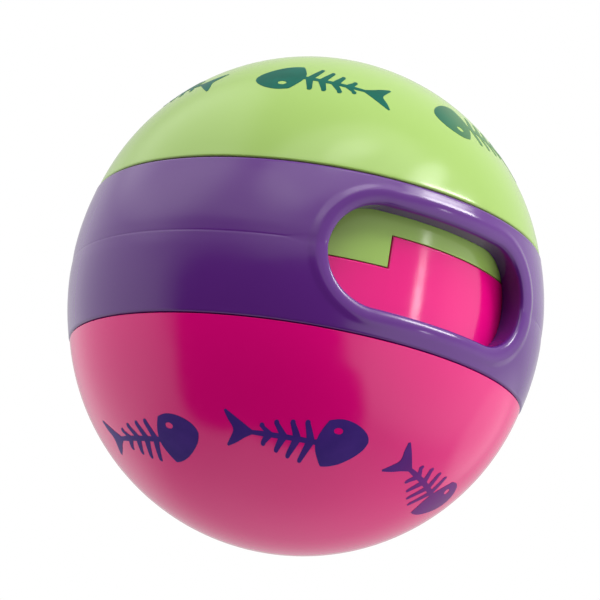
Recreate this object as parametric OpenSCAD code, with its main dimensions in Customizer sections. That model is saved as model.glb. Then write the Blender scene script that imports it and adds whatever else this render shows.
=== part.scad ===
// Treat dispensing ball: two coloured half shells that meet inside a band with a window.
// The origin is the middle of the ball, +Z points at the upper half's pole, and the window looks along -Y.

/* [Half shells] */
// Radius of the round of each half shell
ball_r = 35; // [32:0.5:40]
// Distance from the ball's middle to the centre of each half's round
half_shift = 2.5; // [1:0.1:4]
// Wall of the half shells
shell_wall = 2; // [1.4:0.1:2.6]

/* [Band] */
// Half of the band's height
band_half_h = 11.3; // [10.2:0.1:13]
// How far the band's crown stands out past the shells' radius at mid height
band_proud = 0.6; // [0.3:0.1:1.2]
// Radius of the arc that crowns the band from edge to edge
band_crown_r = 40; // [36:1:60]
// Wall of the band at mid height
band_wall = 4.5; // [4:0.1:5.5]
// Bevel on the band's two outer edges
band_bevel = 0.3; // [0.1:0.05:0.6]

/* [Window] */
// Half of the window's length, from its centre to the tip of its round end
window_half_l = 16.8; // [13:0.1:18]
// Half of the window's height, which is also the radius of its round ends
window_half_h = 7.3; // [6.5:0.1:7.8]
// Width of the raised rim round the window
rim_w = 2.2; // [1.4:0.1:2.6]
// How far the rim stands out from the band
rim_proud = 0.4; // [0.2:0.05:0.7]

/* [Necks] */
// Wall of the necks that the two halves put inside the band
neck_wall = 1.8; // [1.4:0.1:2.2]
// Height above the ball's middle of the line where the two necks meet
joint_rise = 4.3; // [3.5:0.1:5]
// Depth below the ball's middle of the low stretch of that line, under the upper neck's tab
ledge_drop = 0.4; // [0:0.1:1.5]
// Bevel on the outer edge of each neck's end
neck_bevel = 0.35; // [0.1:0.05:0.5]
// Angle from the window's centre back to the step in the line where the necks meet
step_angle = 12.4; // [6:0.2:18]
// Angle that the tab runs on behind the band, past the end of the window
tab_cover = 5; // [3:0.5:8]

/* [Treat port] */
// Angle that the deep port takes out of the lower neck
port_angle = 40; // [26:1:44]
// Angle of lower neck left between the window's end and the closed port
port_cover = 3; // [2:0.5:5]
// Height of lower neck that still shows below the open port, above the window's lower edge
port_sill = 0.9; // [0.5:0.1:2]
// Turn of the lower half from closed to fully open
twist_angle = 63; // [54:1:68]

/* [Snap ring] */
// Height of the ring round the lower neck that holds it in the band
ring_h = 1.4; // [1:0.1:1.8]
// How far the ring stands out from the lower neck
ring_proud = 0.6; // [0.4:0.05:0.9]

/* [Keys] */
// Width of the keys that stop the upper half from turning in the band
key_w = 3; // [2:0.1:5]
// How far the keys stand out from the upper neck
key_proud = 1; // [0.6:0.1:1.2]
// Length of the keys, down from the upper half's shoulder
key_l = 5; // [3:0.1:7]

/* [Fits] */
// Radial clearance between the necks and the band
neck_fit = 0.1; // [0.05:0.01:0.15]
// Gap between the band's edges and the shells' shoulders
seam_gap = 0.12; // [0.08:0.01:0.2]
// Gap between the ends of the two necks, and beside the tab
edge_gap = 0.2; // [0.12:0.02:0.3]
// Clearance round the snap ring and the keys in the band
key_gap = 0.15; // [0.1:0.01:0.25]

/* [Hidden] */
$fn = 160;

// How far a cut runs past what it cuts
overrun = 0.5;
// Bevel on the outer edge of each shell's shoulder
shoulder_bevel = 0.15;
// Number of steps that round the rim's outer side
rim_steps = 3;
// Turns about +Z at which the keys stand: unequal, so the upper half fits in one way only
key_turns = [-45, 50, 130, 225];

crown_r = ball_r + band_proud;
bore_r = crown_r - band_wall;
neck_r = bore_r - neck_fit;
neck_in_r = neck_r - neck_wall;
shoulder_z = band_half_h + seam_gap;
// Radius of a shell's outside at its shoulder, and of the band's outside at its edge
shoulder_r = sqrt(pow(ball_r, 2) - pow(shoulder_z - half_shift, 2));
band_edge_r = crown_r - band_crown_r + sqrt(pow(band_crown_r, 2) - pow(band_half_h, 2));
// Half of the angle of neck that shows through the window
view_angle = asin(window_half_l / neck_r);
// Angle that the gap beside the tab takes at the neck, on each side of the line
gap_angle = asin(edge_gap / 2 / neck_r);
window_turn = -90;
step_turn = window_turn - step_angle;
tab_turn = window_turn - view_angle - tab_cover;
port_turn = window_turn - view_angle - port_cover;
notch_turn = tab_turn - twist_angle;
ledge_z = -ledge_drop - edge_gap / 2;
port_z = -window_half_h + port_sill;
ring_z = -(window_half_h + band_half_h) / 2;
key_low = shoulder_z - key_l;

// Upright wedge between two turns about +Z, from one height to another
module wedge(from_turn, to_turn, low, high) {
  reach = 2 * ball_r;
  arc = [for (i = [0:4]) from_turn + (to_turn - from_turn) * i / 4];
  translate([0, 0, low])
    linear_extrude(height = high - low)
      polygon(concat([[0, 0]], [for (a = arc) reach * [cos(a), sin(a)]]));
}

// All that lies above a height, with the bevel that it leaves on a neck's outer edge
module above(level) {
  rotate_extrude()
    polygon([
      [0, level],
      [neck_r - neck_bevel, level],
      [neck_r + overrun, level - neck_bevel - overrun],
      [neck_r + overrun, shoulder_z],
      [0, shoulder_z]
    ]);
}

// Half shell with its pole up, whose neck reaches down to neck_end
module half_shell(neck_end) {
  difference() {
    union() {
      intersection() {
        translate([0, 0, half_shift])
          sphere(r = ball_r);
        translate([0, 0, shoulder_z])
          cylinder(r = 2 * ball_r, h = 2 * ball_r);
      }
      translate([0, 0, neck_end])
        cylinder(r = neck_r, h = shoulder_z + shell_wall - neck_end);
    }
    intersection() {
      translate([0, 0, half_shift])
        sphere(r = ball_r - shell_wall);
      translate([0, 0, shoulder_z + shell_wall])
        cylinder(r = 2 * ball_r, h = 2 * ball_r);
    }
    translate([0, 0, neck_end - overrun])
      cylinder(r = neck_in_r, h = shoulder_z + shell_wall + 2 * overrun - neck_end);
    rotate_extrude()
      polygon([
        [shoulder_r - shoulder_bevel, shoulder_z],
        [shoulder_r + overrun, shoulder_z - overrun],
        [shoulder_r + overrun, shoulder_z + shoulder_bevel + overrun]
      ]);
  }
}

// Cross-section of the ring on the lower neck, or of its groove when grown by the clearance
module ring_profile(grow) {
  half = ring_h / 2 + grow;
  out = neck_r + ring_proud + grow;
  slope = ring_proud / 2;
  polygon([
    [neck_r - neck_wall / 2, ring_z - half],
    [neck_r, ring_z - half],
    [out, ring_z - half + slope],
    [out, ring_z + half - slope],
    [neck_r, ring_z + half],
    [neck_r - neck_wall / 2, ring_z + half]
  ]);
}

// Keys on the upper neck, or their keyways when grown by the clearance and run out at the top
module keys(grow, top) {
  for (turn = key_turns)
    rotate([0, 0, turn])
      translate([neck_r - neck_wall / 2, -key_w / 2 - grow, key_low - grow])
        cube([neck_wall / 2 + key_proud + grow, key_w + 2 * grow, top - key_low + grow]);
}

// Body of revolution of the band, crowned between its edges and raised by a given height
module crown(raise) {
  rotate_extrude()
    intersection() {
      polygon([
        [bore_r, -band_half_h],
        [band_edge_r - band_bevel, -band_half_h],
        [band_edge_r - band_bevel + band_half_h, 0],
        [band_edge_r - band_bevel, band_half_h],
        [bore_r, band_half_h]
      ]);
      translate([crown_r - band_crown_r, 0])
        circle(r = band_crown_r + raise);
    }
}

// Bar with round ends in the window's shape, grown all round, through the front wall
module window_bar(grow) {
  straight = window_half_l - window_half_h;
  rotate([90, 0, 0])
    linear_extrude(height = crown_r + rim_proud + overrun) {
      square([2 * straight, 2 * (window_half_h + grow)], center = true);
      for (side = [-1, 1])
        translate([side * straight, 0])
          circle(r = window_half_h + grow);
    }
}

// Lower half: bowl, neck with the step and the treat port, and the ring that snaps into the band
module lower_shell() {
  color("deeppink")
    difference() {
      union() {
        mirror([0, 0, 1])
          half_shell(-joint_rise);
        rotate_extrude()
          ring_profile(0);
      }
      above(joint_rise - edge_gap / 2);
      intersection() {
        above(ledge_z);
        wedge(notch_turn - gap_angle, step_turn + gap_angle, -shoulder_z, shoulder_z + overrun);
      }
      intersection() {
        above(port_z);
        wedge(port_turn - port_angle, port_turn, -shoulder_z, shoulder_z + overrun);
      }
    }
}

// Upper half: bowl, neck with the tab that fills the step, and the keys
module upper_shell() {
  color("yellowgreen") {
    difference() {
      half_shell(-ledge_drop);
      difference() {
        mirror([0, 0, 1])
          above(-joint_rise - edge_gap / 2);
        wedge(tab_turn, step_turn - gap_angle, -shoulder_z - overrun, shoulder_z);
      }
      mirror([0, 0, 1])
        above(ledge_drop - edge_gap / 2);
    }
    keys(0, shoulder_z + shell_wall / 2);
  }
}

// Band: crowned ring with the window, its raised rim, the groove for the ring and the keyways
module window_band() {
  color("rebeccapurple")
    difference() {
      union() {
        crown(0);
        for (i = [1:rim_steps])
          intersection() {
            crown(rim_proud * sin(90 * i / rim_steps));
            window_bar(rim_w * cos(90 * (i - 1) / rim_steps));
          }
      }
      window_bar(0);
      rotate_extrude()
        ring_profile(key_gap);
      keys(key_gap, band_half_h + overrun);
    }
}

lower_shell();
upper_shell();
window_band();
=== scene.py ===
import math

import bmesh
import bpy
from mathutils import Matrix, Vector


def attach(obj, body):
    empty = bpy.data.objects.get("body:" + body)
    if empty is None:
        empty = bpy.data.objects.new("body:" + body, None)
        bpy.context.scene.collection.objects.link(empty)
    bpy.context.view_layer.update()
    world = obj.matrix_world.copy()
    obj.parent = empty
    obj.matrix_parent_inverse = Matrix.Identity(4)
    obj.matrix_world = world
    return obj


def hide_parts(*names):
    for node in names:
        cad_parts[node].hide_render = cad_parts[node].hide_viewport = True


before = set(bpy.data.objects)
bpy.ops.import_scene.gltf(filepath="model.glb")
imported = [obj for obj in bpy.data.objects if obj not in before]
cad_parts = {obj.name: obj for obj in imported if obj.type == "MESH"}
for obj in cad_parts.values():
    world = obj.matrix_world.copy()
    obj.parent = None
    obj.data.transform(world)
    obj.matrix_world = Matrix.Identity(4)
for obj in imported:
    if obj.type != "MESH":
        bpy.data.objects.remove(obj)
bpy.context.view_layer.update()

# Camera
# Where the photograph was taken from: a little below the ball's middle, to the left of the
# window, with the ball leaning to the right in the frame.

camera_turn = math.radians(-31.9)
camera_rise = math.radians(-14.66)
camera_reach = 0.35
camera_lens = 139.7
camera_shift = 0.0098
ball_lean = math.radians(9.2)

back = Vector((
    math.sin(camera_turn) * math.cos(camera_rise),
    -math.cos(camera_turn) * math.cos(camera_rise),
    math.sin(camera_rise),
))
level_right = Vector((0, 0, 1)).cross(back).normalized()
level_up = back.cross(level_right)
right = level_right * math.cos(ball_lean) + level_up * math.sin(ball_lean)
up = level_up * math.cos(ball_lean) - level_right * math.sin(ball_lean)

bpy.ops.object.camera_add()
camera = bpy.context.object
camera.name = "camera"
camera.matrix_world = Matrix((
    (right.x, up.x, back.x, back.x * camera_reach),
    (right.y, up.y, back.y, back.y * camera_reach),
    (right.z, up.z, back.z, back.z * camera_reach),
    (0, 0, 0, 1),
))
camera.data.lens = camera_lens
camera.data.sensor_width = 36
camera.data.shift_x = -camera_shift
camera.data.shift_y = camera_shift
camera.data.clip_start = 0.01
camera.data.clip_end = 20
bpy.context.scene.camera = camera
bpy.context.scene.view_settings.view_transform = "Standard"

# Studio
# A pale floor under the ball, with painted shade: its colour is darker round the ball and
# grows paler away from it. A white tent round the ball is open towards the photographer, so the
# ball mirrors a dark opening there, and two soft boxes stand on the right. The photographer is
# below the floor, which can't be seen from there.

floor_level = -0.0375
floor_size = 4
# The floor's colour near the ball, darker as painted shade, and its paler colour far off.
painted_floor_shade = 0.7
floor_pale = 0.95
pale_from = 0.1
pale_to = 0.8

bpy.ops.mesh.primitive_plane_add(size=floor_size, location=(0, 0, floor_level))
floor = bpy.context.object
floor.name = "floor"
floor.visible_diffuse = False
floor.visible_glossy = False
floor.visible_transmission = False
floor.visible_shadow = False

pale = bpy.data.materials.new("pale_floor")
pale.use_nodes = True
nodes = pale.node_tree.nodes
links = pale.node_tree.links
nodes.clear()
ground = nodes.new("ShaderNodeTexCoord")
distance = nodes.new("ShaderNodeVectorMath")
distance.operation = "LENGTH"
# Painted shade: the floor's colour is darker within reach of the ball and paler further off.
painted_shade_fade = nodes.new("ShaderNodeMapRange")
painted_shade_fade.interpolation_type = "SMOOTHSTEP"
painted_shade_fade.inputs["From Min"].default_value = pale_from
painted_shade_fade.inputs["From Max"].default_value = pale_to
painted_shade_fade.inputs["To Min"].default_value = painted_floor_shade
painted_shade_fade.inputs["To Max"].default_value = floor_pale
matt = nodes.new("ShaderNodeBsdfDiffuse")
clear = nodes.new("ShaderNodeBsdfTransparent")
face = nodes.new("ShaderNodeNewGeometry")
one_sided = nodes.new("ShaderNodeMixShader")
surface = nodes.new("ShaderNodeOutputMaterial")
links.new(ground.outputs["Object"], distance.inputs[0])
links.new(distance.outputs["Value"], painted_shade_fade.inputs["Value"])
links.new(painted_shade_fade.outputs["Result"], matt.inputs["Color"])
links.new(face.outputs["Backfacing"], one_sided.inputs["Fac"])
links.new(matt.outputs["BSDF"], one_sided.inputs[1])
links.new(clear.outputs["BSDF"], one_sided.inputs[2])
links.new(one_sided.outputs["Shader"], surface.inputs["Surface"])
floor.data.materials.append(pale)


def towards(side, lift):
    """A direction seen from the photograph's camera: degrees to the right of it, and up."""
    turn = math.radians(side)
    rise = math.radians(lift)
    return (
        right * (math.sin(turn) * math.cos(rise))
        + up * math.sin(rise)
        + back * (math.cos(turn) * math.cos(rise))
    )


tent_glow = 0.70
box_reach = 1.0

world = bpy.data.worlds.new("tent")
bpy.context.scene.world = world
world.use_nodes = True
nodes = world.node_tree.nodes
links = world.node_tree.links
nodes.clear()


def ask(kind, **settings):
    """Adds a node to the tent, with its plain settings and its sockets' values or links."""
    node = nodes.new(kind)
    for name, value in settings.items():
        if name.startswith("in_"):
            socket = node.inputs[int(name[3:])]
            if isinstance(value, bpy.types.NodeSocket):
                links.new(value, socket)
            else:
                socket.default_value = value
        else:
            setattr(node, name, value)
    return node


looking = ask("ShaderNodeTexCoord").outputs["Generated"]


def product(a, b):
    """Two values of the tent multiplied."""
    return ask("ShaderNodeMath", operation="MULTIPLY", in_0=a, in_1=b).outputs[0]


def sum_of(a, b):
    """Two values of the tent added."""
    return ask("ShaderNodeMath", operation="ADD", in_0=a, in_1=b).outputs[0]


def step_of(value, low, high, below, above):
    """Goes smoothly from one value, where the input is low, to another, where it is high."""
    return ask(
        "ShaderNodeMapRange", interpolation_type="SMOOTHSTEP",
        in_0=value, in_1=low, in_2=high, in_3=below, in_4=above,
    ).outputs["Result"]


def lean_to(direction):
    """How far a ray's direction leans to a direction: the cosine between them."""
    return ask(
        "ShaderNodeVectorMath", operation="DOT_PRODUCT", in_0=looking, in_1=direction
    ).outputs["Value"]


def past_middle(direction, half, squareness):
    """Grows from 0 at a pane's middle line to 1 at half its width, faster if it is squarer."""
    part = ask("ShaderNodeMath", operation="DIVIDE", in_0=lean_to(direction), in_1=half).outputs[0]
    size = ask("ShaderNodeMath", operation="ABSOLUTE", in_0=part).outputs[0]
    return ask("ShaderNodeMath", operation="POWER", in_0=size, in_1=squareness).outputs[0]


def pane(side, lift, half_width, half_height, squareness, soft):
    """1 inside a rounded pane of the tent, 0 outside, with an edge as soft as asked."""
    across = past_middle(towards(side + 90, 0), math.sin(math.radians(half_width)), squareness)
    over = past_middle(towards(side, lift + 90), math.sin(math.radians(half_height)), squareness)
    inside = step_of(sum_of(across, over), 1 - soft, 1 + soft, 1.0, 0.0)
    return product(inside, step_of(lean_to(towards(side, lift)), 0.0, 0.1, 0.0, 1.0))


# Bright panes, and then the dark opening. Each has its strength, its place to the right and
# up in degrees, half its width and height in degrees, its squareness and its edge's softness.
glow = ask("ShaderNodeValue").outputs[0]
glow.default_value = tent_glow
for strength, *place in (
    (0.85, -110, 49, 31, 23, 2.5, 0.6),
    (0.45, -113, -2, 40, 34, 2.5, 0.7),
    (1.35, 34, 66, 34, 16, 2.5, 0.6),
    (0.3, 76, 42, 28, 16, 2.5, 0.6),
    (4.5, 81, 43, 14, 4.5, 2, 0.9),
    (2.2, 46, 67, 12, 5, 2, 0.9),
    (0.7, 68, -18, 42, 28, 2.5, 0.6),
    (0.55, 128, -26, 15, 13, 2.5, 0.7),
    (0.2, 130, 30, 40, 40, 2, 0.8),
    (0.25, 0, 88, 34, 34, 2, 0.8),
    (0.3, 0, -88, 34, 34, 2, 0.8),
    (0.5, -48, 50, 40, 12, 2.5, 0.7),
):
    glow = sum_of(glow, product(pane(*place), strength))
lit = 1.0
for strength, *place in (
    (0.99, -22, -14, 41, 37, 4, 0.3),
    (0.99, 2, -40, 26, 22, 3, 0.3),
    (0.6, -44, 8, 24, 24, 2, 0.7),
):
    dark = product(pane(*place), strength)
    kept = ask("ShaderNodeMath", operation="SUBTRACT", in_0=1.0, in_1=dark)
    lit = product(kept.outputs[0], lit)
tent = ask("ShaderNodeBackground", in_0=(1, 1, 1, 1), in_1=product(glow, lit))
white = ask("ShaderNodeBackground", in_0=(1, 1, 1, 1), in_1=1.0)
path = ask("ShaderNodeLightPath")
seen = ask(
    "ShaderNodeMixShader",
    in_0=path.outputs["Is Camera Ray"], in_1=tent.outputs[0], in_2=white.outputs[0],
)
ask("ShaderNodeOutputWorld", in_0=seen.outputs[0])


def soft_box(name, side, lift, width, height, strength, tip):
    """A rectangular soft box that faces the ball, tipped in its own plane by some degrees."""
    bpy.ops.object.light_add(type="AREA")
    lamp = bpy.context.object
    lamp.name = name
    lamp.data.shape = "RECTANGLE"
    lamp.data.size = width
    lamp.data.size_y = height
    lamp.data.energy = strength * math.pi * width * height
    facing = towards(side, lift)
    level = up.cross(facing).normalized()
    turn = math.radians(tip)
    across = level * math.cos(turn) - facing.cross(level) * math.sin(turn)
    upright = facing.cross(across)
    place = facing * box_reach
    lamp.matrix_world = Matrix((
        (across.x, upright.x, facing.x, place.x),
        (across.y, upright.y, facing.y, place.y),
        (across.z, upright.z, facing.z, place.z),
        (0, 0, 0, 1),
    ))
    lamp.visible_camera = False


soft_box("strip_box", side=65.4, lift=12.9, width=0.08, height=0.062, strength=11.5, tip=-3)
soft_box("high_box", side=85.5, lift=32.6, width=0.45, height=0.11, strength=18.0, tip=34)

# Lower half
# Pink half shell, moulded in polypropylene in one piece with the neck that stands inside
# the band. The neck's upper edge has the step and the treat port, and a snap ring holds it.

mm = 0.001
# How near counts as the same point, as the same surface and, in degrees, as the same turn.
same_spot = 0.001 * mm
touching = 0.01 * mm
same_turn = 0.02
# Edges that fold less than this are shaded smoothly.
smooth_angle = math.radians(35)
round_r = 35 * mm
round_shift = 2.5 * mm
wall = 2 * mm
shoulder = 11.42 * mm
neck_out = 31.0 * mm
neck_in = 29.2 * mm
columns = 192
rings = 100
port_level = -6.4 * mm
ledge_level = -0.44 * mm
joint_level = 4.27 * mm
snap_ring_r = 31.6 * mm
snap_ring_low = -10.0 * mm
snap_ring_top = -8.6 * mm
snap_ring_slope = 0.3 * mm
lower_neck_round = 0.25 * mm
neck_in_round = 0.2 * mm
lower_shoulder_round = 0.14 * mm
# A radius that lies between the necks and the outsides of the shells and the band.
past_neck = 33 * mm
step_turn = -102.215
notch_turn = -190.985
port_turns = (-165.8, -125.8)
pink_colour = (0.86, 0.002, 0.225)


def work_on(piece):
    """Makes one piece the only thing selected."""
    bpy.ops.object.select_all(action="DESELECT")
    piece.select_set(True)
    bpy.context.view_layer.objects.active = piece


def pick(kind, wanted):
    """Selects the corners, edges or faces of the piece in edit mode that pass a test."""
    mesh = bmesh.from_edit_mesh(bpy.context.edit_object.data)
    bpy.ops.mesh.select_mode(type=kind)
    bpy.ops.mesh.select_all(action="DESELECT")
    for part in {"VERT": mesh.verts, "EDGE": mesh.edges, "FACE": mesh.faces}[kind]:
        if kind == "VERT":
            middle = part.co
        else:
            middle = sum((v.co for v in part.verts), Vector()) / len(part.verts)
        if wanted(middle, part):
            part.select_set(True)
    mesh.select_flush_mode()
    bmesh.update_edit_mesh(bpy.context.edit_object.data)


def reach_of(p):
    """Distance of a point from the ball's axis."""
    return math.hypot(p.x, p.y)


def turn_past(p, turn):
    """Degrees that a point lies past a turn about +Z, from -180 to 180."""
    return (math.degrees(math.atan2(p.y, p.x)) - turn + 180) % 360 - 180


def draw_ring(start, steps):
    """Carries the selected ring of edges on through (radius, height) steps."""
    for radius, height in steps:
        bpy.ops.mesh.extrude_region_move(
            TRANSFORM_OT_translate={"value": (0, 0, height - start[1])}
        )
        grow = radius / start[0]
        bpy.ops.transform.resize(value=(grow, grow, 1), center_override=(0, 0, height))
        start = (radius, height)


def bowl(radius, level, side):
    """A ball cut off at a level, open there, with its pole up for side 1 and down for -1."""
    bpy.ops.object.select_all(action="DESELECT")
    bpy.ops.mesh.primitive_uv_sphere_add(
        segments=columns, ring_count=rings, radius=radius, location=(0, 0, side * round_shift)
    )
    piece = bpy.context.object
    bpy.ops.object.transform_apply(location=True, rotation=True, scale=True)
    bpy.ops.object.mode_set(mode="EDIT")
    bpy.ops.mesh.select_all(action="SELECT")
    bpy.ops.mesh.bisect(
        plane_co=(0, 0, side * level), plane_no=(0, 0, -side), clear_outer=True
    )
    bpy.ops.mesh.select_all(action="DESELECT")
    return piece


def half_shell(name, side, neck_steps):
    """Half shell whose neck runs through (radius, height) steps to its inner edge."""
    shell = bowl(round_r, shoulder, side)
    shell.name = name
    shell.data.name = name
    out_r = math.sqrt(round_r ** 2 - (shoulder - round_shift) ** 2)
    in_level = side * (shoulder + wall)
    in_r = math.sqrt((round_r - wall) ** 2 - (shoulder + wall - round_shift) ** 2)
    pick("VERT", lambda p, v: abs(p.z - side * shoulder) < same_spot)
    last = [(neck_in, in_level), (in_r, in_level)]
    draw_ring((out_r, side * shoulder), [(neck_out, side * shoulder)] + neck_steps + last)
    bpy.ops.object.mode_set(mode="OBJECT")
    inside = bowl(round_r - wall, shoulder + wall, side)
    bpy.ops.object.mode_set(mode="OBJECT")
    work_on(shell)
    inside.select_set(True)
    bpy.ops.object.join()
    bpy.ops.object.mode_set(mode="EDIT")
    bpy.ops.mesh.select_all(action="SELECT")
    bpy.ops.mesh.remove_doubles(threshold=touching)
    bpy.ops.mesh.normals_make_consistent(inside=False)
    return shell


def turn_column(turn, wanted):
    """Turns the column of the neck's corners that is nearest to an angle onto it."""
    pitch = 360 / columns
    near = round(turn / pitch) * pitch
    pick("VERT", lambda p, v: wanted(p) and abs(turn_past(p, near)) < same_turn)
    # With no window open, transform.rotate turns the other way round.
    bpy.ops.transform.rotate(
        value=-math.radians(turn - near), orient_axis="Z", center_override=(0, 0, 0)
    )


def raise_neck(level, to_level, wanted):
    """Draws out the faces of the neck's end that lie at a level, where they are wanted."""
    pick("FACE", lambda p, f: (
        abs(p.z - level) < touching and abs(f.normal.z) > 0.9
        and neck_in < reach_of(p) < neck_out and wanted(p)
    ))
    bpy.ops.mesh.extrude_region_move(
        TRANSFORM_OT_translate={"value": (0, 0, to_level - level)}
    )


def round_off(size, segments, wanted):
    """Rounds the sharp edges of the piece that are wanted."""
    pick("EDGE", lambda p, e: (
        len(e.link_faces) == 2 and e.calc_face_angle(0) > math.radians(40) and wanted(p, e)
    ))
    bpy.ops.mesh.bevel(offset=size, segments=segments, affect="EDGES", clamp_overlap=True)


def runs_at(radius, e):
    """Whether an edge runs along a radius from one end to the other."""
    return all(abs(reach_of(v.co) - radius) < 2 * touching for v in e.verts)


lower_half = half_shell("lower_half_shell", -1, [
    (neck_out, snap_ring_low), (snap_ring_r, snap_ring_low + snap_ring_slope),
    (snap_ring_r, snap_ring_top - snap_ring_slope), (neck_out, snap_ring_top),
    (neck_out, port_level), (neck_in, port_level),
])
for turn in (step_turn, notch_turn, *port_turns):
    turn_column(turn, lambda p: reach_of(p) < past_neck and p.z > snap_ring_top - touching)
port_middle = sum(port_turns) / 2
port_half = (port_turns[1] - port_turns[0]) / 2
notch_middle = (step_turn + notch_turn) / 2
notch_half = (step_turn - notch_turn) / 2
raise_neck(port_level, ledge_level, lambda p: abs(turn_past(p, port_middle)) > port_half)
raise_neck(ledge_level, joint_level, lambda p: abs(turn_past(p, notch_middle)) > notch_half)
round_off(lower_neck_round, 3, lambda p, e: p.z > port_level - touching and runs_at(neck_out, e))
round_off(neck_in_round, 2, lambda p, e: p.z > port_level - touching and runs_at(neck_in, e))
round_off(lower_shoulder_round, 3, lambda p, e: (
    abs(p.z + shoulder) < touching and reach_of(p) > past_neck
))
bpy.ops.object.mode_set(mode="OBJECT")


def even_out(piece):
    """Shades a piece smoothly, with its broad faces true and only its edges rounding."""
    work_on(piece)
    bpy.ops.object.shade_smooth_by_angle(angle=smooth_angle)
    even = piece.modifiers.new("even", "WEIGHTED_NORMAL")
    even.keep_sharp = True
    even.weight = 80
    bpy.ops.object.modifier_apply(modifier="even")


even_out(lower_half)


def moulded_plastic(name, colour, shade, rough):
    """Glossy moulded polypropylene: even colour with faint flow clouds and a fine skin."""
    finish = bpy.data.materials.new(name)
    finish.use_nodes = True
    nodes = finish.node_tree.nodes
    links = finish.node_tree.links
    plastic = nodes["Principled BSDF"]
    place = nodes.new("ShaderNodeTexCoord")
    clouds = nodes.new("ShaderNodeTexNoise")
    clouds.inputs["Scale"].default_value = 45
    clouds.inputs["Detail"].default_value = 3
    tint = nodes.new("ShaderNodeMix")
    tint.data_type = "RGBA"
    tint.inputs["A"].default_value = (*shade, 1)
    tint.inputs["B"].default_value = (*colour, 1)
    links.new(place.outputs["Object"], clouds.inputs["Vector"])
    links.new(clouds.outputs["Fac"], tint.inputs["Factor"])
    links.new(tint.outputs["Result"], plastic.inputs["Base Color"])
    skin = nodes.new("ShaderNodeTexNoise")
    skin.inputs["Scale"].default_value = 520
    skin.inputs["Detail"].default_value = 2
    rub = nodes.new("ShaderNodeMapRange")
    rub.inputs["From Min"].default_value = 0.3
    rub.inputs["From Max"].default_value = 0.7
    rub.inputs["To Min"].default_value = rough * 0.85
    rub.inputs["To Max"].default_value = rough * 1.2
    dent = nodes.new("ShaderNodeBump")
    dent.inputs["Strength"].default_value = 0.5
    dent.inputs["Distance"].default_value = 0.000004
    links.new(place.outputs["Object"], skin.inputs["Vector"])
    links.new(skin.outputs["Fac"], rub.inputs["Value"])
    links.new(rub.outputs["Result"], plastic.inputs["Roughness"])
    links.new(skin.outputs["Fac"], dent.inputs["Height"])
    links.new(dent.outputs["Normal"], plastic.inputs["Normal"])
    plastic.inputs["IOR"].default_value = 1.5
    return finish


pink = moulded_plastic("pink_plastic", pink_colour, (0.82, 0.0015, 0.21), 0.13)
lower_half.data.materials.clear()
lower_half.data.materials.append(pink)
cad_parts["lower_shell"].data.materials.clear()
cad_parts["lower_shell"].data.materials.append(pink)
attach(lower_half, "lower_half")
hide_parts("lower_shell")

# Upper half
# Green half shell, moulded like the lower one. A tab on its neck fills the step of the
# lower neck, and four keys on the neck slide into the band, so it can't turn there.

tab_turns = (-127.8, -102.585)
tab_level = -0.35 * mm
upper_joint = 4.35 * mm
key_low = 6.42 * mm
key_top = 11.3 * mm
key_proud = 1.0 * mm
key_width = 3.0 * mm
key_turns = (-45, 50, 130, 225)
key_half = math.degrees(math.asin(key_width / 2 / neck_out))
upper_neck_round = 0.1 * mm
key_round = 0.15 * mm
upper_shoulder_round = 0.38 * mm
green_colour = (0.345, 0.54, 0.117)

upper_half = half_shell("upper_half_shell", 1, [
    (neck_out, key_top), (neck_out, key_low), (neck_out, upper_joint), (neck_in, upper_joint),
])
for turn in tab_turns:
    turn_column(turn, lambda p: reach_of(p) < past_neck and p.z < upper_joint + touching)
for turn in key_turns:
    for side in (-1, 1):
        turn_column(turn + side * key_half, lambda p: (
            abs(reach_of(p) - neck_out) < touching
            and key_low - touching < p.z < key_top + touching
        ))
tab_middle = sum(tab_turns) / 2
tab_half = (tab_turns[1] - tab_turns[0]) / 2
raise_neck(upper_joint, tab_level, lambda p: abs(turn_past(p, tab_middle)) < tab_half)
pick("FACE", lambda p, f: (
    abs(reach_of(p) - neck_out) < 2 * touching and key_low < p.z < key_top
    and any(abs(turn_past(p, turn)) < key_half for turn in key_turns)
))
bpy.ops.mesh.extrude_region_move()
bpy.ops.transform.resize(
    value=((neck_out + key_proud) / neck_out,) * 2 + (1,), center_override=(0, 0, 0)
)
round_off(upper_neck_round, 2, lambda p, e: p.z < upper_joint + touching and runs_at(neck_out, e))
round_off(neck_in_round, 2, lambda p, e: p.z < upper_joint + touching and runs_at(neck_in, e))
round_off(key_round, 2, lambda p, e: (
    key_low - touching < p.z < key_top + touching
    and neck_out + key_proud / 2 < reach_of(p) < past_neck
))
round_off(upper_shoulder_round, 4, lambda p, e: (
    abs(p.z - shoulder) < touching and reach_of(p) > past_neck
))
bpy.ops.object.mode_set(mode="OBJECT")
even_out(upper_half)

green = moulded_plastic("green_plastic", green_colour, (0.33, 0.52, 0.11), 0.16)
upper_half.data.materials.clear()
upper_half.data.materials.append(green)
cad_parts["upper_shell"].data.materials.clear()
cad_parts["upper_shell"].data.materials.append(green)
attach(upper_half, "upper_half")
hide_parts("upper_shell")

# Band
# Purple crowned ring, moulded in polypropylene in one piece, with the long window whose
# raised rim is a soft bead. A shallow valley runs round its mid height, where the mould
# parts, and the two half shells push into its bore.

band_half = 11.3 * mm
band_edge = 10.8 * mm
crown_r = 35.6 * mm
crown_arc = 40 * mm
bore_r = 31.1 * mm
bore_edge = 8.1 * mm
bore_rows = 40
band_columns = 240
# The stretch of the band, in degrees, that is made anew round the window.
front_middle = -90
front_half = 39
window_end = 9.5 * mm
window_half = 7.3 * mm
rim_foot = 3.3 * mm
inner_foot = 0.4 * mm
end_steps = 54
side_steps = 38
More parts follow.
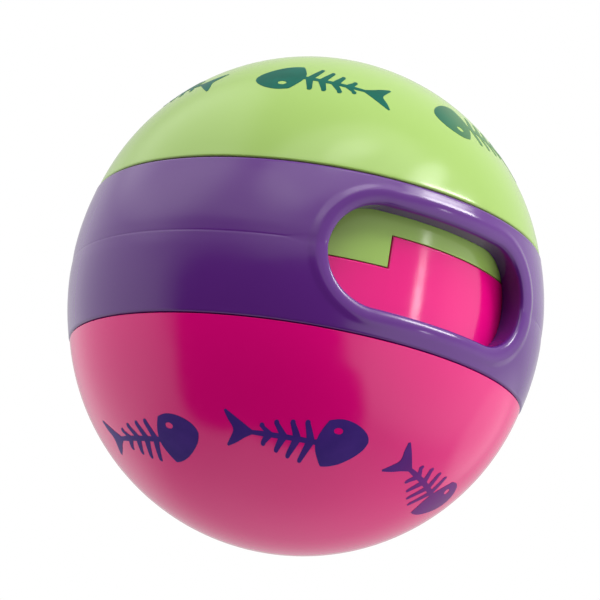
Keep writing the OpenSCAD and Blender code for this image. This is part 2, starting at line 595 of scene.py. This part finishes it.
# Heights in mm of the rows of faces outside, which are finest at the parting line.
half_rows = (
    0.08, 0.3, 0.6, 1, 1.4, 1.8, 2.2, 2.8, 3.5, 4.2,
    4.9, 5.6, 6.3, 7, 7.7, 8.4, 9.1, 9.7, 10.3, 10.8,
)
key_gap = 0.15 * mm
groove_r = snap_ring_r + key_gap
groove_low = snap_ring_low - key_gap
groove_top = snap_ring_top + key_gap
valley_depth = 0.06 * mm
valley_width = 1.3 * mm
line_depth = 0.03 * mm
line_width = 0.07 * mm


def crown_reach(z):
    """Radius of the band's outside at a height, with the valley and its fine parting line."""
    valley = valley_depth * math.exp(-(z / valley_width) ** 2)
    line = line_depth * math.exp(-(z / line_width) ** 2)
    return crown_r - crown_arc + math.sqrt(crown_arc ** 2 - z ** 2) - valley - line


def from_window(p):
    """Distance of a point from the window's outline, seen from the front."""
    return math.hypot(max(abs(p.x) - window_end, 0), p.z) - window_half


def draw_line(name, points):
    """A new piece that is one line through points."""
    bpy.ops.object.select_all(action="DESELECT")
    bpy.ops.mesh.primitive_plane_add(size=mm)
    piece = bpy.context.object
    piece.name = name
    piece.data.name = name
    bpy.ops.object.mode_set(mode="EDIT")
    bpy.ops.mesh.select_mode(type="VERT")
    bpy.ops.mesh.select_all(action="SELECT")
    bpy.ops.mesh.merge(type="CENTER")
    bpy.ops.transform.translate(value=points[0])
    for a, b in zip(points, points[1:]):
        bpy.ops.mesh.extrude_region_move(TRANSFORM_OT_translate={"value": Vector(b) - Vector(a)})
    return piece


def spin_all(steps, degrees, centre=(0, 0, 0), axis=(0, 0, 1)):
    """Spins what is selected about an axis, in steps."""
    bpy.ops.mesh.spin(steps=steps, angle=math.radians(degrees), center=centre, axis=axis)


outer_rows = [h * mm for h in reversed(half_rows)] + [0] + [-h * mm for h in half_rows]
edge_round = band_half - band_edge
edge_middle = crown_reach(band_edge) - edge_round
edge_arc = [
    (edge_middle + edge_round * math.sin(a), band_edge + edge_round * math.cos(a))
    for a in map(math.radians, (0, 22, 45, 68))
]
section = [
    (bore_r, -band_half), (bore_r, groove_low), (groove_r, groove_low + snap_ring_slope),
    (groove_r, groove_top - snap_ring_slope), (bore_r, groove_top),
]
section += [(bore_r, bore_edge * (2 * i / bore_rows - 1)) for i in range(bore_rows + 1)]
section.append((bore_r, band_half))
section += edge_arc + [(crown_reach(z), z) for z in outer_rows]
section += [(r, -z) for r, z in reversed(edge_arc)]
band = draw_line("window_band_ring", [(r, 0, z) for r, z in section + section[:1]])
bpy.ops.mesh.select_all(action="SELECT")
bpy.ops.mesh.remove_doubles(threshold=same_spot)
bpy.ops.mesh.select_all(action="SELECT")
spin_all(band_columns, 360)
bpy.ops.mesh.select_all(action="SELECT")
bpy.ops.mesh.remove_doubles(threshold=same_spot)
pick("FACE", lambda p, f: abs(turn_past(p, front_middle)) < front_half and (
    reach_of(p) > past_neck and abs(p.z) < band_edge
    or reach_of(p) < bore_r + touching and abs(p.z) < bore_edge
))
bpy.ops.mesh.delete(type="FACE")
bpy.ops.object.mode_set(mode="OBJECT")

# The shapes that the window's rings are pressed onto: the crown outside and the bore inside.
former_half = 50
former_columns = 300
former_rows = 220


def spun_former(name, reaches):
    """A strip in front of the ball through (radius, height) points, to press rings onto."""
    start = math.radians(front_middle + former_half)
    former = draw_line(name, [(r * math.cos(start), r * math.sin(start), z) for r, z in reaches])
    bpy.ops.mesh.select_all(action="SELECT")
    spin_all(former_columns, 2 * former_half)
    bpy.ops.object.mode_set(mode="OBJECT")
    return former


fine_rows = [band_half * (2 * i / former_rows - 1) for i in range(former_rows + 1)]
crown_former = spun_former("crown_former", [(crown_reach(z), z) for z in fine_rows])
bore_former = spun_former("bore_former", [(bore_r, -band_half), (bore_r, band_half)])


def window_rings(name, depth, distances):
    """Flat rings round the window, in the plane at a depth, at distances from its outline."""
    rings = draw_line(name, [(window_end, depth, -window_half - d) for d in distances])
    bpy.ops.mesh.select_all(action="SELECT")
    for side in (1, -1):
        spin_all(end_steps, 180, centre=(side * window_end, depth, 0), axis=(0, 1, 0))
        pick("VERT", lambda p, v: abs(p.x - side * window_end) < same_spot and p.z * side > 0)
        for _ in range(side_steps):
            bpy.ops.mesh.extrude_region_move(
                TRANSFORM_OT_translate={"value": (-side * 2 * window_end / side_steps, 0, 0)}
            )
        bpy.ops.mesh.select_mode(type="VERT")
    bpy.ops.mesh.select_all(action="SELECT")
    bpy.ops.mesh.remove_doubles(threshold=same_spot)
    bpy.ops.object.mode_set(mode="OBJECT")
    return rings


def press(piece, former, group=""):
    """Moves corners straight back or forth, along Y, onto a former."""
    work_on(piece)
    wrap = piece.modifiers.new("press", "SHRINKWRAP")
    wrap.target = former
    wrap.wrap_method = "PROJECT"
    wrap.use_project_y = True
    wrap.use_project_x = wrap.use_project_z = False
    wrap.use_positive_direction = True
    wrap.use_negative_direction = True
    wrap.vertex_group = group
    bpy.ops.object.modifier_apply(modifier="press")


def grouped(piece, name, weight):
    """Gives a piece a group in which each corner has the weight that its place asks for."""
    group = piece.vertex_groups.new(name=name)
    for corner in piece.data.vertices:
        amount = weight(corner.co)
        if amount > 0:
            group.add([corner.index], amount, "REPLACE")


# The rim's bead rolls softly towards the window and turns into it round a small corner.
# It swells out of the band at the window's ends, and is nearly flush above and below.
bead_top = 0.2 * mm
flush_share = 0.2
swell_from = 5 * mm
swell_run = 9 * mm
bead_width = 1.9 * mm
bead_foot = 3.1 * mm
roll_width = 3.0 * mm
roll_drop = 0.88 * mm
roll_power = 2.45
corner_width = 0.5 * mm
corner_drop = 0.5 * mm
corner_turns = range(0, 91, 15)
bead_steps = 18
rim_plane = -38 * mm
inner_plane = -20 * mm
# Further than the bead lies in front of the crown or behind it anywhere.
deepest = 4 * mm


def bead_rise(p):
    """How far the bead stands out of the crown at a point, or lies behind it if negative."""
    d = max(from_window(p), 0)
    end = min(max((abs(p.x) - swell_from) / swell_run, 0), 1)
    top = bead_top * (flush_share + (1 - flush_share) * end * end * (3 - 2 * end))
    flank = min(max((d - bead_width) / (bead_foot - bead_width), 0), 1)
    roll = (1 - min(d / roll_width, 1)) ** roll_power
    corner = 1 - math.sqrt(1 - (1 - min(d / corner_width, 1)) ** 2)
    return top * (1 + math.cos(math.pi * flank)) / 2 - roll_drop * roll - corner_drop * corner


def bead_shift(p):
    """How far the bead stands in front of the crown at a point, straight towards the front."""
    reach = crown_reach(p.z)
    return math.sqrt((reach + bead_rise(p)) ** 2 - p.x ** 2) - math.sqrt(reach ** 2 - p.x ** 2)


bead_rows = [corner_width * (1 - math.cos(math.radians(a))) for a in corner_turns]
bead_rows += [
    corner_width + (bead_foot - corner_width) * i / bead_steps for i in range(1, bead_steps + 1)
]
rim = window_rings("rim", rim_plane, bead_rows + [rim_foot])
press(rim, crown_former)
grouped(rim, "raised", lambda p: bead_shift(p) / deepest)
grouped(rim, "sunk", lambda p: -bead_shift(p) / deepest)
work_on(rim)
for group, way in (("raised", -1), ("sunk", 1)):
    push = rim.modifiers.new(group, "DISPLACE")
    push.direction = "Y"
    push.mid_level = 0
    push.strength = way * deepest
    push.vertex_group = group
    bpy.ops.object.modifier_apply(modifier=group)
inner_rim = window_rings("inner_rim", inner_plane, [0, inner_foot])
press(inner_rim, bore_former)

work_on(band)
rim.select_set(True)
inner_rim.select_set(True)
bpy.ops.object.join()
bpy.ops.object.mode_set(mode="EDIT")


def is_open(e):
    """Whether an edge has a face on one side only."""
    return len(e.link_faces) == 1


def on_outline(p):
    """Whether a point of a ring lies on the window's outline, and not further out."""
    return from_window(p) < inner_foot / 2


# The rings are joined to the band outside and inside, and to each other through the wall.
pick("EDGE", lambda p, e: is_open(e) and not on_outline(p) and reach_of(p) > past_neck)
bpy.ops.mesh.bridge_edge_loops(number_cuts=7)
pick("EDGE", lambda p, e: is_open(e) and not on_outline(p) and reach_of(p) < past_neck)
bpy.ops.mesh.bridge_edge_loops(number_cuts=5)
pick("EDGE", lambda p, e: is_open(e) and on_outline(p))
bpy.ops.mesh.bridge_edge_loops(number_cuts=4)
bpy.ops.object.mode_set(mode="OBJECT")


def in_front(p):
    """Whether a point lies inside the stretch of the band that is made anew."""
    return abs(turn_past(p, front_middle)) < front_half - same_turn


grouped(band, "front", lambda p: float(
    in_front(p) and abs(p.z) < band_edge - touching
    and reach_of(p) > past_neck and from_window(p) > rim_foot + touching
))
grouped(band, "back", lambda p: float(
    in_front(p) and abs(p.z) < bore_edge - touching
    and reach_of(p) < past_neck and from_window(p) > inner_foot + touching
))
press(band, crown_former, "front")
press(band, bore_former, "back")
band.vertex_groups.clear()
for former in (crown_former, bore_former):
    bpy.data.objects.remove(former)

work_on(band)
bpy.ops.object.mode_set(mode="EDIT")
bpy.ops.mesh.select_all(action="SELECT")
bpy.ops.mesh.normals_make_consistent(inside=False)
bpy.ops.object.mode_set(mode="OBJECT")

# Keyways for the upper half's keys, cut down into the bore from the top edge.
keyway_in = 30 * mm
keyway_out = neck_out + key_proud + key_gap
keyway_top = 12 * mm
keyway_low = key_low - key_gap
slots = []
for turn in key_turns:
    bpy.ops.object.select_all(action="DESELECT")
    bpy.ops.mesh.primitive_cube_add(size=1)
    slot = bpy.context.object
    bpy.ops.object.mode_set(mode="EDIT")
    bpy.ops.mesh.select_all(action="SELECT")
    bpy.ops.transform.resize(
        value=(keyway_out - keyway_in, key_width + 2 * key_gap, keyway_top - keyway_low)
    )
    bpy.ops.transform.translate(
        value=((keyway_out + keyway_in) / 2, 0, (keyway_top + keyway_low) / 2)
    )
    bpy.ops.transform.rotate(value=-math.radians(turn), orient_axis="Z", center_override=(0, 0, 0))
    bpy.ops.object.mode_set(mode="OBJECT")
    slots.append(slot)
work_on(slots[0])
for slot in slots:
    slot.select_set(True)
bpy.ops.object.join()
cut = band.modifiers.new("keyways", "BOOLEAN")
cut.operation = "DIFFERENCE"
cut.solver = "EXACT"
cut.object = slots[0]
work_on(band)
bpy.ops.object.modifier_apply(modifier="keyways")
bpy.data.objects.remove(slots[0])
even_out(band)

purple = moulded_plastic("purple_plastic", (0.118, 0.022, 0.235), (0.108, 0.019, 0.215), 0.14)
band.data.materials.clear()
band.data.materials.append(purple)
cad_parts["window_band"].data.materials.clear()
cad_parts["window_band"].data.materials.append(purple)
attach(band, "band")
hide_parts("window_band")

# Fish bones
# A ring of plain fish-bone figures printed on each half shell in one ink, violet on the
# pink and teal on the green: a thin film of ink pressed on after moulding.

# Places on the flat figure are in mm, with its head towards +X.
rib_tops = ((1.1, 3.0), (-0.8, 2.65), (-2.9, 2.25), (-4.8, 1.5))
rib_feet = ((1.2, -4.0), (-0.7, -3.6), (-2.5, -2.95), (-4.5, -2.15))
rib_roots = (1.9, 0.0, -1.95, -4.0)
spine_rise = -0.2
eye = (5.3 * mm, 2.2 * mm, 0)
eye_radius = 0.5 * mm
print_lift = 0.03 * mm
# Painted light: across this stretch of X, towards the ball's right side where the soft boxes are,
# the ink is mixed towards the plastic's colour.
painted_light_from = -4 * mm
painted_light_to = 11 * mm


def rib(root, tip, way):
    """Outline of one rib, from its side near the head to its side near the tail."""
    x, y = tip
    half = 0.3
    return [
        (root + 0.62, spine_rise + way * 0.42),
        (x + half + 0.08, y - way * 0.5), (x + half, y - way * 0.2),
        (x + half * 0.55, y - way * 0.03), (x, y), (x - half * 0.6, y - way * 0.06),
        (x - half, y - way * 0.26), (x - half - 0.02, y - way * 0.6),
        (root - 0.5, spine_rise + way * 0.42),
    ]


def eased(points, cuts=4):
    """A smooth line through points."""
    line = []
    for i in range(len(points) - 1):
        a, b = Vector(points[max(i - 1, 0)]), Vector(points[i])
        c, d = Vector(points[i + 1]), Vector(points[min(i + 2, len(points) - 1)])
        for j in range(cuts):
            t = j / cuts
            bend = 2 * a - 5 * b + 4 * c - d
            twist = 3 * b - a - 3 * c + d
            line.append(tuple(0.5 * (2 * b + (c - a) * t + bend * t ** 2 + twist * t ** 3)))
    return line + [tuple(points[-1])]


forehead = eased([(9.85, 1.5), (9.45, 2.4), (8.4, 3.3), (6.8, 3.95), (5.2, 4.05), (3.9, 3.6)])
nape = eased([(3.7, 3.45), (3.3, 2.4), (2.95, 1.2), (2.8, 0.25)])
gill = eased([(2.8, -0.6), (3.1, -1.6), (3.75, -2.8), (4.4, -3.75)])
jaw = eased([(4.65, -3.9), (5.8, -3.6), (7.3, -2.75), (8.7, -1.3), (9.6, 0.2), (9.85, 1.5)])
tail = eased([(-6.1, spine_rise + 0.34), (-7.2, 0.95), (-8.6, 2.05), (-9.75, 2.95)])
tail += eased([
    (-9.98, 2.75), (-9.5, 1.5), (-8.95, 0.5), (-8.8, -0.1), (-9.0, -0.8), (-9.5, -1.8),
    (-9.9, -2.55),
])
tail += eased([(-9.7, -2.8), (-8.4, -2.1), (-7.2, -1.2), (-6.1, spine_rise - 0.34)])
outline = forehead + nape
for root, tip in zip(rib_roots, rib_tops):
    outline += rib(root, tip, 1)
outline += tail
for root, tip in reversed(list(zip(rib_roots, rib_feet))):
    outline += reversed(rib(root, tip, -1))
outline += gill + jaw[:-1]

figure = draw_line("fish_bone", [(x * mm, y * mm, 0) for x, y in outline + outline[:1]])
bpy.ops.mesh.select_all(action="SELECT")
bpy.ops.mesh.remove_doubles(threshold=same_spot)
bpy.ops.mesh.primitive_circle_add(vertices=24, radius=eye_radius, location=eye)
bpy.ops.transform.resize(value=(1.25, 1, 1), center_override=eye)
bpy.ops.mesh.select_all(action="SELECT")
bpy.ops.mesh.fill(use_beauty=True)
bpy.ops.mesh.select_all(action="SELECT")
bpy.ops.mesh.subdivide(number_cuts=2)
bpy.ops.object.mode_set(mode="OBJECT")


def print_ring(name, side, places, ink, body):
    """Prints the figure at (turn, rise, tilt) places round a half: side 1 is the upper one."""
    for number, (turn, rise, tilt) in enumerate(places, 1):
        work_on(figure)
        bpy.ops.object.duplicate()
        fish = bpy.context.object
        fish.name = f"{name}_{number}"
        fish.data.name = fish.name
        lean = math.radians(tilt)
        for corner in fish.data.vertices:
            x, y = corner.co.x, corner.co.y
            forth = x * math.cos(lean) - y * math.sin(lean)
            over = x * math.sin(lean) + y * math.cos(lean)
            lift = math.radians(side * rise) - side * over / round_r
            around = math.radians(turn) - side * forth / (round_r * math.cos(math.radians(rise)))
            reach = (round_r + print_lift) * math.cos(lift)
            corner.co = (
                reach * math.cos(around), reach * math.sin(around),
                side * round_shift + (round_r + print_lift) * math.sin(lift),
            )
        bpy.ops.object.mode_set(mode="EDIT")
        pick("FACE", lambda p, f: (p - Vector((0, 0, side * round_shift))).dot(f.normal) < 0)
        bpy.ops.mesh.flip_normals()
        bpy.ops.object.mode_set(mode="OBJECT")
        film = fish.modifiers.new("film", "SOLIDIFY")
        film.thickness = 2 * print_lift
        film.offset = -1
        bpy.ops.object.modifier_apply(modifier="film")
        bpy.ops.object.shade_smooth_by_angle(angle=smooth_angle)
        fish.data.materials.clear()
        fish.data.materials.append(ink)
        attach(fish, body)


def printed_ink(name, colour, thin, plastic, painted_light_share):
    """Pad-printed ink: a satin film, lighter in soft patches. Towards the ball's right side,
    which faces the soft boxes, a share of the plastic's colour is mixed into it: painted light."""
    finish = bpy.data.materials.new(name)
    finish.use_nodes = True
    nodes = finish.node_tree.nodes
    links = finish.node_tree.links
    film = nodes["Principled BSDF"]
    place = nodes.new("ShaderNodeTexCoord")
    patches = nodes.new("ShaderNodeTexNoise")
    patches.inputs["Scale"].default_value = 320
    patches.inputs["Detail"].default_value = 5
    cover = nodes.new("ShaderNodeMapRange")
    cover.inputs["From Min"].default_value = 0.35
    cover.inputs["From Max"].default_value = 0.75
    tint = nodes.new("ShaderNodeMix")
    tint.data_type = "RGBA"
    tint.inputs["A"].default_value = (*colour, 1)
    tint.inputs["B"].default_value = (*thin, 1)
    split = nodes.new("ShaderNodeSeparateXYZ")
    # Painted light: the ink mixes towards the plastic's colour across the ball's right side, which
    # faces the lamps.
    painted_light_side = nodes.new("ShaderNodeMapRange")
    painted_light_side.interpolation_type = "SMOOTHSTEP"
    painted_light_side.inputs["From Min"].default_value = painted_light_from
    painted_light_side.inputs["From Max"].default_value = painted_light_to
    painted_light_side.inputs["To Max"].default_value = painted_light_share
    lightened_ink = nodes.new("ShaderNodeMix")
    lightened_ink.data_type = "RGBA"
    lightened_ink.inputs["B"].default_value = (*plastic, 1)
    rub = nodes.new("ShaderNodeMapRange")
    rub.inputs["To Min"].default_value = 0.24
    rub.inputs["To Max"].default_value = 0.39
    links.new(place.outputs["Object"], patches.inputs["Vector"])
    links.new(patches.outputs["Fac"], cover.inputs["Value"])
    links.new(cover.outputs["Result"], tint.inputs["Factor"])
    links.new(place.outputs["Object"], split.inputs["Vector"])
    links.new(split.outputs["X"], painted_light_side.inputs["Value"])
    links.new(painted_light_side.outputs["Result"], lightened_ink.inputs["Factor"])
    links.new(tint.outputs["Result"], lightened_ink.inputs["A"])
    links.new(lightened_ink.outputs["Result"], film.inputs["Base Color"])
    links.new(patches.outputs["Fac"], rub.inputs["Value"])
    links.new(rub.outputs["Result"], film.inputs["Roughness"])
    film.inputs["IOR"].default_value = 1.16
    return finish


violet = printed_ink(
    "violet_ink", (0.05, 0.018, 0.2), (0.07, 0.024, 0.24), plastic=pink_colour, painted_light_share=0.15
)
teal = printed_ink(
    "teal_ink", (0.0005, 0.1, 0.068), (0.003, 0.13, 0.092), plastic=green_colour, painted_light_share=0.28
)
print_ring("violet_fish_bone", -1, [
    (-172, 44, -5), (-118.5, 41, 0), (-64.5, 44, -14), (7, 41, 0), (61.5, 41, 0), (118.5, 41, 0),
], violet, "lower_half")
print_ring("teal_fish_bone", 1, [
    (-188, 43, 0), (-128, 43, -9), (-69, 40.5, -10), (-8, 43, 0), (52, 43, 0), (112, 43, 0),
], teal, "upper_half")
bpy.data.objects.remove(figure)
